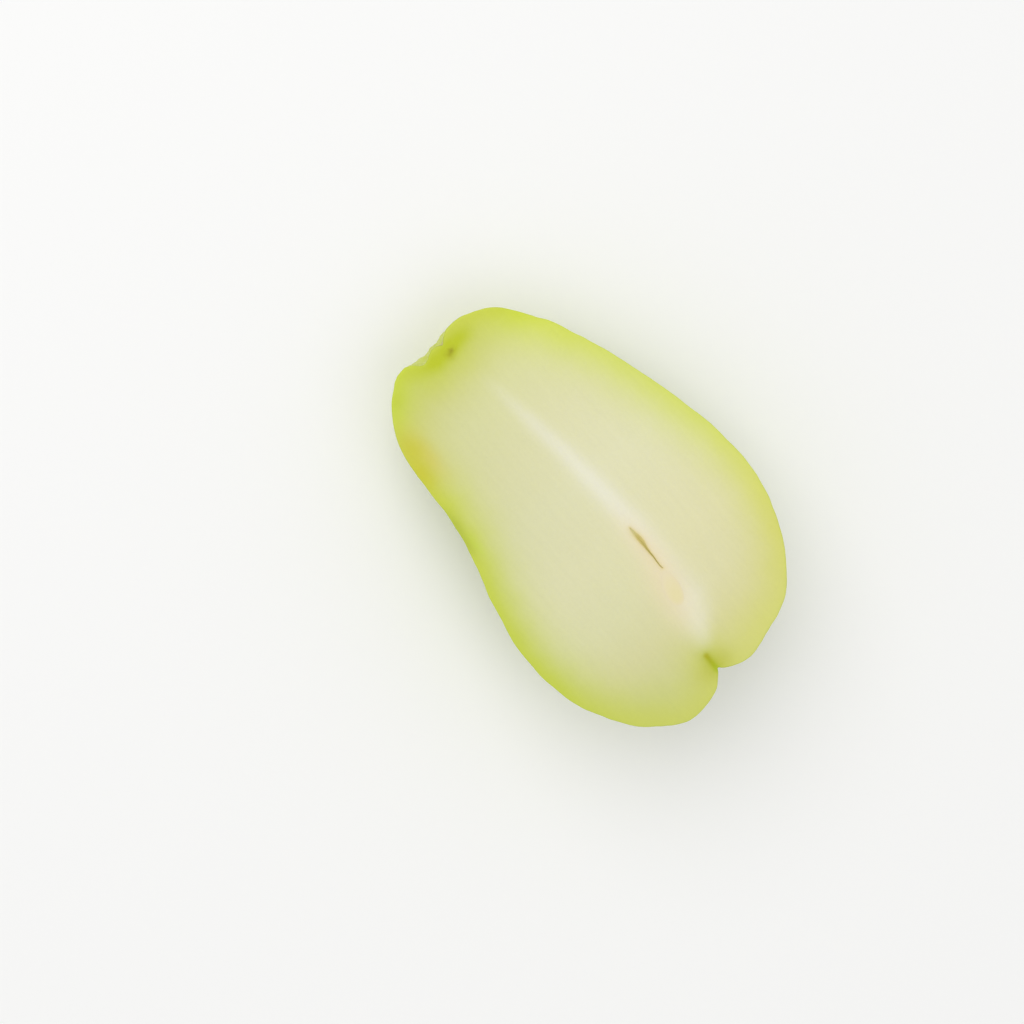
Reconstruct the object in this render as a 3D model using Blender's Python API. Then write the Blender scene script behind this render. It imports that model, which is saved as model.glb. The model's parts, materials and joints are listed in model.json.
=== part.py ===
"""Half of a chayote squash, cut lengthwise and lying on its skin with the cut face up.

The fruit has a frame of its own: +X runs from the stem end to the blossom end, the cut
face is its plane Z = 0, and the skin bulges below that plane. Both pieces are modelled in
that frame and hang on one empty, which holds the attitude in which the half comes to rest.
Sizes are in millimetres, turned to metres by MM.
"""

import math

import bmesh
import bpy
import numpy as np
from mathutils import Matrix, Vector

MM = 0.001
OBJECT_NAME = "chayote_squash_half"

# Outlines from the stem pit to the bottom of the blossom cleft: (along, out from the axis).
# The first two are the edges of the cut face, the third runs under the fruit.
WIDE_EDGE = (
    (-2.6, 0.0), (-4.7, 2.3), (-5.7, 6.5), (-3.8, 13.0), (-0.8, 18.4), (4.5, 22.3),
    (11.0, 26.8), (25.0, 32.7), (43.2, 38.7), (59.3, 42.1), (73.0, 43.5), (86.0, 42.5),
    (98.0, 37.9), (107.8, 32.0), (112.6, 27.2), (115.6, 20.8), (117.6, 13.0),
    (118.5, 8.0), (117.2, 3.2), (114.2, 0.9), (109.5, 0.0),
)
NARROW_EDGE = (
    (-2.6, 0.0), (-3.5, 1.8), (-2.9, 4.6), (-1.8, 7.3), (-4.2, 10.8), (-4.5, 14.5),
    (-1.8, 19.0), (4.5, 24.4), (13.0, 27.6), (27.0, 29.2), (40.0, 30.3), (55.3, 34.4),
    (69.8, 38.0), (82.0, 39.0), (95.0, 37.3), (106.0, 32.6), (113.4, 27.0),
    (118.0, 21.3), (121.0, 15.8), (121.1, 10.0), (118.7, 3.6), (114.5, 0.9), (109.5, 0.0),
)
KEEL = (
    (-2.6, 0.0), (-4.6, 4.0), (-5.0, 9.0), (-3.4, 14.5), (0.6, 19.2), (7.0, 23.0),
    (16.0, 25.6), (30.0, 27.9), (42.0, 30.0), (54.0, 33.0), (66.0, 36.0), (77.0, 38.0),
    (87.0, 38.2), (95.0, 36.6), (102.0, 33.2), (106.6, 28.6), (109.2, 22.8),
    (110.4, 17.0), (110.6, 11.0), (110.1, 5.0), (109.5, 0.0),
)

# Furrows under the fruit: (degrees round from the wide edge, depth, half width in degrees,
# share of the length where it starts to run out). The middle one carries the cleft on.
FURROWS = ((40.5, 5.2, 22.0, 0.84), (90.0, 5.4, 24.0, 0.93), (139.5, 4.8, 22.0, 0.84))
FURROW_STARTS, FURROW_FULL = 0.05, 0.70  # shares of the length from the stem
FURROW_FADE = 0.12  # share of the length in which a furrow runs out at the blossom end
LIP_SHARPNESS = 3.0  # how tightly the blossom lobes close over the cleft
CLEFT_LEAD, CLEFT_REACH = 1.8, 0.1  # how far the cleft runs down the blossom end
FURROW_SWAY = 3.0  # degrees that the furrows wander sideways

RINGS, COLUMNS = 66, 80
RING_CROWDING = 0.055  # draws the rings together at both ends

# The seed is flat and stands across the cut, so the cut shows its narrow section.
SEED_MIDDLE = (90.2, 4.7)
SEED_HALF = (5.2, 2.4, 7.0)  # along, through and down into the flesh
SEED_TURN = -14.7  # degrees from the fruit's length
CLEARANCE = 0.3

# The seed cavity's empty upper end is an open slit in the cut face.
SLIT_MIDDLE = (77.1, 6.5)
SLIT_HALF = (7.6, 0.7, 6.5)
SLIT_TAPER = 0.45  # share of its width that it loses towards the seed
CUTTER_RISE = 0.2  # lifts the cutters' widest section clear of the cut face

SKIN_GREEN = (0.42, 0.52, 0.10, 1.0)
SEED_CREAM = (0.78, 0.68, 0.38, 1.0)


def evenly_along(points, count):
    """Points evenly spaced on the natural cubic spline through the given ones."""
    knots = np.array(points, float)
    lengths = np.linalg.norm(np.diff(knots, axis=0), axis=1)
    at = np.concatenate([[0.0], np.cumsum(lengths)])
    slopes = np.diff(knots, axis=0) / lengths[:, None]
    system, right = np.eye(len(knots)), np.zeros_like(knots)
    for i in range(1, len(knots) - 1):
        system[i, i - 1 : i + 2] = lengths[i - 1], 2 * (lengths[i - 1] + lengths[i]), lengths[i]
        right[i] = 6 * (slopes[i] - slopes[i - 1])
    bend = np.linalg.solve(system, right)

    fine = np.linspace(0, at[-1], 40 * len(knots))
    span = np.clip(np.searchsorted(at, fine) - 1, 0, len(lengths) - 1)
    length = lengths[span][:, None]
    after = fine[:, None] - at[span][:, None]
    before = length - after
    curve = (
        (bend[span] * before**3 + bend[span + 1] * after**3) / (6 * length)
        + (knots[span] / length - bend[span] * length / 6) * before
        + (knots[span + 1] / length - bend[span + 1] * length / 6) * after
    )
    walked = np.concatenate([[0.0], np.cumsum(np.linalg.norm(np.diff(curve, axis=0), axis=1))])
    wanted = np.linspace(0, walked[-1], count)
    return np.column_stack([np.interp(wanted, walked, curve[:, i]) for i in range(2)])


CURVE_POINTS = 2000
WIDE, NARROW, UNDER = (evenly_along(p, CURVE_POINTS) for p in (WIDE_EDGE, NARROW_EDGE, KEEL))


def at_share(curve, share):
    """(along, out) of a curve at these shares of its length."""
    shares = np.linspace(0, 1, CURVE_POINTS)
    return np.interp(share, shares, curve[:, 0]), np.interp(share, shares, curve[:, 1])


def ease(low, high, value):
    """0 below low, 1 above high and a smooth step between."""
    x = np.clip((value - low) / (high - low), 0, 1)
    return x * x * (3 - 2 * x)


def under_share(share):
    """The keel's share for a ring's: its rings run ahead near the cleft, which stays narrow."""
    left = 1 - share
    return 1 - np.clip(left * (1 + CLEFT_LEAD * np.exp(-left / CLEFT_REACH)), 0, 1)


def plain_skin(share, angle):
    """The skin without its furrows. angle runs from the wide edge, under, to the narrow one."""
    sway = FURROW_SWAY * np.sin(7.0 * share + 0.6) * np.sin(angle) ** 2
    angle = angle + np.radians(sway)
    side = np.cos(angle)
    wide_x, wide_out = at_share(WIDE, share)
    narrow_x, narrow_out = at_share(NARROW, share)
    keel_x, depth = at_share(UNDER, under_share(share))
    edge_x = np.where(side > 0, wide_x, narrow_x)
    edge_out = np.where(side > 0, wide_out, narrow_out)
    # Near the stem the skin swings evenly from edge to keel, and at the blossom end the
    # lobes stay full almost down to the cleft.
    sharp = 1 + (LIP_SHARPNESS - 1) * ease(0.5, 0.9, share)
    to_keel = (1 - np.abs(side)) ** sharp
    x = edge_x + (keel_x - edge_x) * to_keel
    return np.stack([x, edge_out * side, -depth * np.sin(angle)], axis=-1)


def skin(share, angle):
    """Points of the skin, in mm: the plain form with its furrows pressed in."""
    step = 0.01
    ahead_x, ahead_out = at_share(UNDER, under_share(np.clip(share + step, 0, 1)))
    behind_x, behind_out = at_share(UNDER, under_share(np.clip(share - step, 0, 1)))
    run_x, run_out = ahead_x - behind_x, ahead_out - behind_out
    run = np.hypot(run_x, run_out)
    inward = np.stack(
        [run_out / run, -run_x / run * np.cos(angle), run_x / run * np.sin(angle)], axis=-1
    )
    depth = np.zeros_like(share)
    for centre, deepest, half_width, fades in FURROWS:
        across = np.abs(np.degrees(angle) - centre) / half_width
        runs_out = 1 - ease(fades, fades + FURROW_FADE, share)
        depth += deepest * np.clip(1 - across, 0, 1) ** 2 * runs_out
    depth *= ease(FURROW_STARTS, FURROW_FULL, share)
    return plain_skin(share, angle) + depth[..., None] * inward


def add_object(name, bm, collection):
    mesh = bpy.data.meshes.new(name)
    bm.normal_update()
    bmesh.ops.recalc_face_normals(bm, faces=bm.faces)
    bm.to_mesh(mesh)
    bm.free()
    mesh.shade_smooth()
    mesh.set_sharp_from_angle(angle=math.radians(40))
    obj = bpy.data.objects.new(name, mesh)
    collection.objects.link(obj)
    return obj


def cut_flat(bm):
    """Takes off all that is above Z = 0 and closes the cut with one face."""
    geometry = bm.verts[:] + bm.edges[:] + bm.faces[:]
    bmesh.ops.bisect_plane(
        bm, geom=geometry, dist=1e-7, plane_co=(0, 0, 0), plane_no=(0, 0, 1), clear_outer=True
    )
    rim = [edge for edge in bm.edges if edge.is_boundary]
    bmesh.ops.holes_fill(bm, edges=rim, sides=0)


def make_flesh(collection):
    """The half fruit: a sphere's rings and columns laid on the skin, then cut in two."""
    bm = bmesh.new()
    bmesh.ops.create_uvsphere(bm, u_segments=COLUMNS, v_segments=RINGS, radius=1)
    ball = np.array([vert.co for vert in bm.verts])
    share = np.arccos(np.clip(ball[:, 2], -1, 1)) / math.pi
    share -= RING_CROWDING * np.sin(2 * math.pi * share)
    angle = np.arctan2(ball[:, 1], ball[:, 0])
    places = skin(share, np.abs(angle))
    places[:, 2] *= np.where(angle < 0, -1, 1)
    for vert, place in zip(bm.verts, places):
        vert.co = Vector(place) * MM
    cut_flat(bm)
    return add_object("chayote_half", bm, collection)


def seed_form(half_sizes, rise=0.0):
    """A closed lens form with the seed's proportions, standing at the seed's place."""
    bm = bmesh.new()
    bmesh.ops.create_uvsphere(bm, u_segments=24, v_segments=16, radius=1)
    turn = Matrix.Rotation(math.radians(SEED_TURN), 4, "Z")
    place = Matrix.Translation(Vector((*SEED_MIDDLE, rise)) * MM)
    lie_down = Matrix.Rotation(math.pi / 2, 4, "Y")
    bm.transform(place @ turn @ Matrix.Diagonal((*[h * MM for h in half_sizes], 1)) @ lie_down)
    return bm


def make_seed(collection):
    bm = seed_form(SEED_HALF)
    cut_flat(bm)
    return add_object("seed_half", bm, collection)


def make_slit_cutter(collection):
    """A blade-shaped form, widest towards the stem."""
    bm = bmesh.new()
    bmesh.ops.create_uvsphere(bm, u_segments=16, v_segments=16, radius=1)
    bmesh.ops.rotate(bm, verts=bm.verts, matrix=Matrix.Rotation(math.pi / 2, 3, "Y"))
    half_length, half_width, depth = SLIT_HALF
    for vert in bm.verts:
        width = half_width * (1 - SLIT_TAPER * vert.co.x)
        x, y, z = vert.co.x * half_length, vert.co.y * width, vert.co.z * depth
        vert.co = Vector((SLIT_MIDDLE[0] + x, SLIT_MIDDLE[1] + y, CUTTER_RISE + z)) * MM
    return add_object("slit_cutter", bm, collection)


def make_seed_cutter(collection):
    bm = seed_form([half + CLEARANCE for half in SEED_HALF], CUTTER_RISE)
    return add_object("seed_cutter", bm, collection)


def cut_with(target, cutter):
    cutter.hide_render = True
    cutter.display_type = "WIRE"
    modifier = target.modifiers.new(cutter.name, "BOOLEAN")
    modifier.operation = "DIFFERENCE"
    modifier.solver = "EXACT"
    modifier.object = cutter


def centre_of_mass(bm):
    """The centroid of a closed triangle mesh."""
    volume, moment = 0.0, Vector()
    for face in bm.faces:
        a, b, c = (vert.co for vert in face.verts)
        piece = a.dot(b.cross(c)) / 6
        volume += piece
        moment += piece * (a + b + c) / 4
    return moment / volume


def holds(corners, point, normal):
    """Whether the point, seen along the normal, is inside the triangle."""
    pairs = zip(corners, corners[1:] + corners[:1])
    return all((end - start).cross(point - start).dot(normal) > 0 for start, end in pairs)


def resting_attitude(flesh):
    """The turn and shift that lay the half on its skin, balanced, over the origin.

    Of the flat faces of its convex hull that hold its centre of mass, it rests on the one
    that faces most nearly down.
    """
    bm = bmesh.new()
    bm.from_mesh(flesh.data)
    bmesh.ops.triangulate(bm, faces=bm.faces)
    centre = centre_of_mass(bm)
    bmesh.ops.delete(bm, geom=bm.faces[:], context="FACES_ONLY")
    hull = bmesh.ops.convex_hull(bm, input=bm.verts)["geom"]
    faces = [item for item in hull if isinstance(item, bmesh.types.BMFace)]
    seats = []
    for face in faces:
        corners = [vert.co.copy() for vert in face.verts]
        normal = (corners[1] - corners[0]).cross(corners[2] - corners[0]).normalized()
        if normal.dot(corners[0] - centre) < 0:
            corners.reverse()
            normal.negate()
        if holds(corners, centre, normal):
            seats.append(normal)
    down = min(seats, key=lambda normal: normal.z)
    turn = down.rotation_difference(Vector((0, 0, -1))).to_matrix()
    places = np.array([turn @ vert.co for vert in bm.verts])
    bm.free()
    low, high = places.min(axis=0), places.max(axis=0)
    shift = Vector((-(low[0] + high[0]) / 2, -(low[1] + high[1]) / 2, -low[2]))
    return Matrix.LocRotScale(shift, turn, None)


def make_material(name, colour, roughness):
    material = bpy.data.materials.new(name)
    material.use_nodes = True
    shader = material.node_tree.nodes["Principled BSDF"]
    shader.inputs["Base Color"].default_value = colour
    shader.inputs["Roughness"].default_value = roughness
    shader.inputs["Metallic"].default_value = 0.0
    return material


def build():
    for old in list(bpy.data.objects):
        bpy.data.objects.remove(old)
    parts = bpy.data.collections.new(OBJECT_NAME)
    cutters = bpy.data.collections.new("cutters")
    for collection in (parts, cutters):
        bpy.context.scene.collection.children.link(collection)

    flesh = make_flesh(parts)
    seed = make_seed(parts)
    seed_cutter = make_seed_cutter(cutters)
    slit_cutter = make_slit_cutter(cutters)
    attitude = resting_attitude(flesh)
    for cutter in (seed_cutter, slit_cutter):
        cut_with(flesh, cutter)

    flesh.data.materials.append(make_material("chayote_skin", SKIN_GREEN, 0.45))
    seed.data.materials.append(make_material("chayote_seed", SEED_CREAM, 0.5))

    rest = bpy.data.objects.new("fruit_frame", None)
    parts.objects.link(rest)
    rest.matrix_world = attitude
    for obj in (flesh, seed, seed_cutter, slit_cutter):
        obj.parent = rest


build()
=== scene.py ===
import json
import math

import bmesh
import bpy
import numpy as np
from mathutils import Matrix, Vector, geometry, noise


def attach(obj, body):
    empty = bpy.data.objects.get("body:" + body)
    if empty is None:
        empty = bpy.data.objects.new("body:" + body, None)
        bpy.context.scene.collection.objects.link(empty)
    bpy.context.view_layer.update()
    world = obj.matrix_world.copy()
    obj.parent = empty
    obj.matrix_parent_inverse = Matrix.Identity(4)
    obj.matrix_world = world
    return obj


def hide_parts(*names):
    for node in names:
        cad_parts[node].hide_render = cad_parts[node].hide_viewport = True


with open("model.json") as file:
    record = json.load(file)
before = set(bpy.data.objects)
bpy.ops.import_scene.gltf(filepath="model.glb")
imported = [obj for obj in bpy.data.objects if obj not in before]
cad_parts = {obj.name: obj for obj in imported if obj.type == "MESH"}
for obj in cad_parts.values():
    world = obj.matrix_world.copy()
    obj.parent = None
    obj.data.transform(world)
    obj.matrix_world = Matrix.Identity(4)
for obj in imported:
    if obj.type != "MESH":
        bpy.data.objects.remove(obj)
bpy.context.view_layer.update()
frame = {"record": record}  # one half of a chayote squash, lying on its skin with the cut face up

MM = 0.001

# ---------------------------------------------------------------------------------------
# The fruit's own frame: +X runs from stem to blossom and the cut face is its plane Z = 0.
# Outlines are (along, out from the axis) in mm, from the stem pit to the blossom cleft.
# ---------------------------------------------------------------------------------------
MOUNT_AT = (36.0, -10.0, 0.0)  # the cut face's mount in this frame
WIDE_EDGE = (
    (-2.6, 0.0), (-4.7, 2.3), (-5.7, 6.5), (-3.8, 13.0), (-0.8, 18.4), (4.5, 22.3),
    (11.0, 26.8), (25.0, 32.7), (43.2, 38.7), (59.3, 42.1), (73.0, 43.5), (86.0, 42.5),
    (98.0, 37.9), (107.8, 32.0), (112.6, 27.2), (115.9, 19.6), (117.0, 15.4),
    (118.7, 9.0), (117.9, 4.2), (116.6, 1.5), (115.6, 0.45), (115.0, 0.16), (114.4, 0.09),
    (113.2, 0.06), (111.4, 0.05), (109.5, 0.0),
)
NARROW_EDGE = (
    (-2.6, 0.0), (-3.5, 1.8), (-2.9, 4.6), (-1.8, 7.3), (-4.2, 10.8), (-4.5, 14.5),
    (-1.8, 19.0), (4.5, 24.4), (13.0, 27.6), (27.0, 29.2), (40.0, 30.3), (55.3, 34.4),
    (69.8, 38.0), (82.0, 39.0), (95.0, 37.3), (106.0, 32.6), (111.8, 28.7),
    (115.0, 25.6), (117.7, 21.7), (120.1, 18.2), (121.4, 15.0), (121.7, 11.2), (120.7, 7.0),
    (119.2, 3.6), (117.0, 1.3),
    (115.9, 0.45), (115.2, 0.16), (114.4, 0.09), (113.2, 0.06), (111.4, 0.05), (109.5, 0.0),
)
KEEL = (
    (-2.6, 0.0), (-4.6, 4.0), (-5.0, 9.0), (-3.4, 14.5), (0.6, 19.2), (7.0, 23.0),
    (16.0, 25.6), (30.0, 27.9), (42.0, 30.0), (54.0, 33.0), (66.0, 36.0), (77.0, 38.0),
    (87.0, 38.2), (95.0, 36.6), (102.0, 33.2), (106.6, 28.6), (109.2, 22.8),
    (110.4, 17.0), (110.6, 11.0), (110.1, 5.0), (109.5, 0.0),
)
# Furrows: (degrees round from the wide edge, depth, half width in degrees, where it fades).
FURROWS = ((40.5, 5.2, 22.0, 0.84), (90.0, 5.4, 24.0, 0.93), (139.5, 4.8, 22.0, 0.84))
FURROW_STARTS, FURROW_FULL, FURROW_FADE = 0.05, 0.70, 0.12  # shares of the fruit's length
FURROW_SWAY = 3.0  # degrees that a furrow wanders either way
SWAY_TURN, SWAY_START = 7.0, 0.6  # radians of its wandering along the fruit
LIP_SHARPNESS = 3.0  # how squarely the skin leaves the cut at the blossom end
LIP_RUN = (0.5, 0.9)  # where along the fruit that begins and is full
CLEFT_LEAD, CLEFT_REACH = 1.8, 0.1  # how far the keel runs ahead of the edges near the cleft

SEED_MIDDLE = (90.2, 4.7)
SEED_HALF = (5.2, 2.4, 7.0)  # half its length, half its width and its depth
SEED_TURN = math.radians(-14.7)
SEED_EGG = 0.16  # how much wider than an oval its blunt end is

# Fine mesh
RINGS, COLUMNS = 340, 400
RING_CROWDING = 0.055  # how much closer together the rings lie at both ends
ON_RIM = 1e-4  # mm from the cut's plane, or share from an end, that counts as on it
FLESH, LINING = 1, 2  # the fruit's material slots after its skin's


SPLINE_STEPS = 40  # of a curve to each of its given points


def evenly_along(points, count):
    """Points evenly spaced on the natural cubic spline through the given ones."""
    knots = np.array(points, float)
    lengths = np.linalg.norm(np.diff(knots, axis=0), axis=1)
    at = np.concatenate([[0.0], np.cumsum(lengths)])
    slopes = np.diff(knots, axis=0) / lengths[:, None]
    system, right = np.eye(len(knots)), np.zeros_like(knots)
    for i in range(1, len(knots) - 1):
        system[i, i - 1 : i + 2] = lengths[i - 1], 2 * (lengths[i - 1] + lengths[i]), lengths[i]
        right[i] = 6 * (slopes[i] - slopes[i - 1])
    bend = np.linalg.solve(system, right)

    fine = np.linspace(0, at[-1], SPLINE_STEPS * len(knots))
    span = np.clip(np.searchsorted(at, fine) - 1, 0, len(lengths) - 1)
    length = lengths[span][:, None]
    after = fine[:, None] - at[span][:, None]
    before = length - after
    curve = (
        (bend[span] * before**3 + bend[span + 1] * after**3) / (6 * length)
        + (knots[span] / length - bend[span] * length / 6) * before
        + (knots[span + 1] / length - bend[span + 1] * length / 6) * after
    )
    walked = np.concatenate([[0.0], np.cumsum(np.linalg.norm(np.diff(curve, axis=0), axis=1))])
    wanted = np.linspace(0, walked[-1], count)
    return np.column_stack([np.interp(wanted, walked, curve[:, i]) for i in range(2)])


CURVE_POINTS = 2000
WIDE, NARROW, UNDER = (evenly_along(p, CURVE_POINTS) for p in (WIDE_EDGE, NARROW_EDGE, KEEL))


def at_share(curve, share):
    """(along, out) of a curve at these shares of its length."""
    shares = np.linspace(0, 1, CURVE_POINTS)
    return np.interp(share, shares, curve[:, 0]), np.interp(share, shares, curve[:, 1])


def ease(low, high, value):
    """0 below low, 1 above high and a smooth step between."""
    x = np.clip((value - low) / (high - low), 0, 1)
    return x * x * (3 - 2 * x)


def under_share(share):
    """Where the keel has got to when the edges are at this share of their length."""
    left = 1 - share
    return 1 - np.clip(left * (1 + CLEFT_LEAD * np.exp(-left / CLEFT_REACH)), 0, 1)


def plain_skin(share, angle):
    """The skin without its furrows. angle runs from the wide edge, under, to the narrow one."""
    sway = FURROW_SWAY * np.sin(SWAY_TURN * share + SWAY_START) * np.sin(angle) ** 2
    angle = angle + np.radians(sway)
    side = np.cos(angle)
    wide_x, wide_out = at_share(WIDE, share)
    narrow_x, narrow_out = at_share(NARROW, share)
    keel_x, depth = at_share(UNDER, under_share(share))
    edge_x = np.where(side > 0, wide_x, narrow_x)
    edge_out = np.where(side > 0, wide_out, narrow_out)
    sharp = 1 + (LIP_SHARPNESS - 1) * ease(*LIP_RUN, share)
    to_keel = (1 - np.abs(side)) ** sharp
    x = edge_x + (keel_x - edge_x) * to_keel
    return np.stack([x, edge_out * side, -depth * np.sin(angle)], axis=-1)


def furrow_depth(share, angle):
    """How deep the furrows are at each point, in mm."""
    depth = np.zeros_like(share)
    for centre, deepest, half_width, fades in FURROWS:
        across = np.abs(np.degrees(angle) - centre) / half_width
        runs_out = 1 - ease(fades, fades + FURROW_FADE, share)
        depth += deepest * np.clip(1 - across, 0, 1) ** 2 * runs_out
    return depth * ease(FURROW_STARTS, FURROW_FULL, share)


KEEL_STEP = 0.01  # share of the length, either way, over which the keel's direction is read


def skin(share, angle):
    """Points of the skin, in mm: the plain form with its furrows pressed in."""
    ahead_x, ahead_out = at_share(UNDER, under_share(np.clip(share + KEEL_STEP, 0, 1)))
    behind_x, behind_out = at_share(UNDER, under_share(np.clip(share - KEEL_STEP, 0, 1)))
    run_x, run_out = ahead_x - behind_x, ahead_out - behind_out
    run = np.hypot(run_x, run_out)
    inward = np.stack(
        [run_out / run, -run_x / run * np.cos(angle), run_x / run * np.sin(angle)], axis=-1
    )
    return plain_skin(share, angle) + furrow_depth(share, angle)[..., None] * inward


def fruit_frame():
    """The fruit's frame in the world, read from where the cut face's mount was packed."""
    mount = next(m for m in frame["record"]["mounts"] if m["name"] == "cut_face")
    turn = Vector((0, 0, 1)).rotation_difference(Vector(mount["axis"])).to_matrix()
    shift = Vector(mount["pos_m"]) - turn @ (Vector(MOUNT_AT) * MM)
    return Matrix.LocRotScale(shift, turn, None)


FRUIT = fruit_frame()


# ---------------------------------------------------------------------------------------
# Modelling
# ---------------------------------------------------------------------------------------
def deselect_all():
    bpy.ops.object.select_all(action="DESELECT")


def add_sphere(name, segments, rings):
    deselect_all()
    bpy.ops.mesh.primitive_uv_sphere_add(segments=segments, ring_count=rings, radius=1)
    ball = bpy.context.object
    ball.name = ball.data.name = name
    return ball


def vertex_places(mesh):
    places = np.empty(len(mesh.vertices) * 3)
    mesh.vertices.foreach_get("co", places)
    return places.reshape(-1, 3)


def set_places(mesh, places):
    mesh.vertices.foreach_set("co", places.ravel())
    mesh.update()


def write_field(mesh, name, values):
    """Stores one number for each vertex, for a material to read."""
    field = mesh.attributes.new(name, "FLOAT", "POINT")
    field.data.foreach_set("value", np.ascontiguousarray(values, np.float32))


def read_field(mesh, name):
    values = np.empty(len(mesh.vertices), np.float32)
    mesh.attributes[name].data.foreach_get("value", values)
    return values


PATTERNS_APART = (17.3, 9.1, 5.7)  # how far apart in the noise two numbered patterns are


def rough_field(places, wavelength, pattern, stretch=1.0):
    """Smooth noise between about -1 and 1, drawn out along the fruit by stretch."""
    scale = np.array([1 / (wavelength * stretch), 1 / wavelength, 1 / wavelength])
    shift = Vector([pattern * apart for apart in PATTERNS_APART])
    return np.array([noise.noise(Vector(p) + shift) for p in places * scale])


def inside(points, loop):
    """Which points are inside the closed outline."""
    start, end = loop, np.roll(loop, -1, axis=0)
    x, y = points[:, 0, None], points[:, 1, None]
    spans = (start[:, 1] > y) != (end[:, 1] > y)
    with np.errstate(divide="ignore", invalid="ignore"):
        cross = start[:, 0] + (y - start[:, 1]) / (end[:, 1] - start[:, 1]) * (end[:, 0] - start[:, 0])
    return (spans & (x < cross)).sum(axis=1) % 2 == 1


BATCH = 1500  # points measured at once, to keep the memory small


def distance_to(points, loop):
    """How far each point is from the closed outline."""
    start, run = loop, np.roll(loop, -1, axis=0) - loop
    nearest = []
    for batch in np.array_split(points, max(1, len(points) // BATCH)):
        away = batch[:, None] - start
        share = np.clip((away * run).sum(-1) / (run * run).sum(-1), 0, 1)
        nearest.append(np.linalg.norm(away - share[..., None] * run, axis=-1).min(axis=1))
    return np.concatenate(nearest)


ROW_CLEARANCE = 0.85  # how near the outline a row's point may come, as a share of its offset


def inner_rows(loop, offsets):
    """Rows of points inside the outline at these distances from it."""
    ahead = np.roll(loop, -1, axis=0) - np.roll(loop, 1, axis=0)
    normal = np.column_stack([-ahead[:, 1], ahead[:, 0]])
    normal /= np.linalg.norm(normal, axis=1)[:, None]
    area = (loop[:, 0] * np.roll(loop[:, 1], -1) - loop[:, 1] * np.roll(loop[:, 0], -1)).sum()
    normal *= math.copysign(1, area)
    rows = []
    for every, offset in offsets:
        row = (loop + normal * offset)[::every]
        rows.append(row[inside(row, loop) & (distance_to(row, loop) > ROW_CLEARANCE * offset)])
    return np.concatenate(rows)


def hex_points(low, high, spacing):
    """Points of a triangular grid over a box, each spacing away from its neighbours."""
    rows = []
    for i, y in enumerate(np.arange(low[1], high[1], spacing * math.sqrt(0.75))):
        x = np.arange(low[0] + spacing / 2 * (i % 2), high[0], spacing)
        rows.append(np.column_stack([x, np.full_like(x, y)]))
    return np.concatenate(rows)


# The slit: the empty upper end of the seed cavity, as (along, across) of its middle line
# and half its width. It tears open to a crack near its narrow side.
SLIT_LINE = (
    (69.8, 6.62, 0.04), (71.0, 6.68, 0.24), (72.4, 6.72, 0.50), (73.8, 6.72, 0.68),
    (75.0, 6.70, 0.66), (76.2, 6.60, 0.46), (77.4, 6.48, 0.30), (78.8, 6.42, 0.20),
    (80.2, 6.44, 0.13), (81.8, 6.26, 0.09), (83.2, 6.20, 0.08), (84.3, 6.30, 0.03),
)
SLIT_POINTS = 60  # along each lip
CRACK_LEAN = -0.1  # where the crack lies, as a share of the slit's half width


def smooth_line(points, along):
    """The other values of a line of points at these places along it."""
    points = np.array(points)
    return [np.interp(along, points[:, 0], points[:, i]) for i in range(1, points.shape[1])]


def slit_outline():
    along = np.linspace(SLIT_LINE[0][0], SLIT_LINE[-1][0], SLIT_POINTS)
    middle, half = smooth_line(SLIT_LINE, along)
    far = np.column_stack([along, middle + half])
    near = np.column_stack([along, middle - half])[::-1]
    return np.concatenate([far, near])


SEED_POINTS = 56  # round the seed's mouth


def seed_outline():
    """The seed's section in the cut: an egg, blunt towards the blossom end."""
    turn = np.linspace(0, 2 * math.pi, SEED_POINTS, endpoint=False)
    x = SEED_HALF[0] * np.cos(turn)
    y = SEED_HALF[1] * np.sin(turn) * (1 + SEED_EGG * np.cos(turn))
    c, s = math.cos(SEED_TURN), math.sin(SEED_TURN)
    return np.column_stack([SEED_MIDDLE[0] + c * x - s * y, SEED_MIDDLE[1] + s * x + c * y])


def shaped_skin():
    """A sphere's rings and columns laid on the skin, with its relief, open at the cut."""
    ball = add_sphere("chayote_flesh_and_skin", COLUMNS, RINGS)
    mesh = ball.data
    unit = vertex_places(mesh)
    share = np.arccos(np.clip(unit[:, 2], -1, 1)) / math.pi
    share -= RING_CROWDING * np.sin(2 * math.pi * share)
    angle = np.arctan2(unit[:, 1], unit[:, 0])
    round_back = np.abs(angle)
    places = skin(share, round_back)
    places[:, 2] *= np.where(angle < 0, -1, 1)
    set_places(mesh, places)

    normals = np.empty(len(mesh.vertices) * 3, np.float32)
    mesh.vertex_normals.foreach_get("vector", normals)
    normals = normals.reshape(-1, 3)
    lift, crest_highlight, pimple = skin_relief(places, share, round_back)
    places = places + normals * lift[:, None]
    at_rim = np.abs(np.sin(angle)) < ON_RIM
    at_rim |= (share < ON_RIM) | (share > 1 - ON_RIM)
    places[at_rim, 2] = 0
    set_places(mesh, places)
    write_field(mesh, "share", share)
    write_field(mesh, "angle", round_back)
    write_field(mesh, "crest_highlight", crest_highlight)
    write_field(mesh, "pimple", pimple)

    bpy.ops.object.mode_set(mode="EDIT")
    bpy.ops.mesh.select_all(action="SELECT")
    bpy.ops.mesh.bisect(
        plane_co=(0, 0, 0), plane_no=(0, 0, 1), clear_outer=True, threshold=ON_RIM
    )
    bpy.ops.object.mode_set(mode="OBJECT")
    return ball


# The skin's swells, lumps and wrinkles: (mm from crest to crest, pattern, stretch along the
# fruit, height in mm, share in the painted highlight on its raised crests).
SKIN_RELIEF = ((15.0, 1, 1.4, 0.42, 0.9), (5.5, 2, 1.3, 0.3, 0.8), (2.4, 3, 1.4, 0.13, 0.5))
# which heights of the lumps the painted highlight on their crests runs over
CREST_HIGHLIGHT_RANGE = (-0.7, 0.9)
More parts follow.
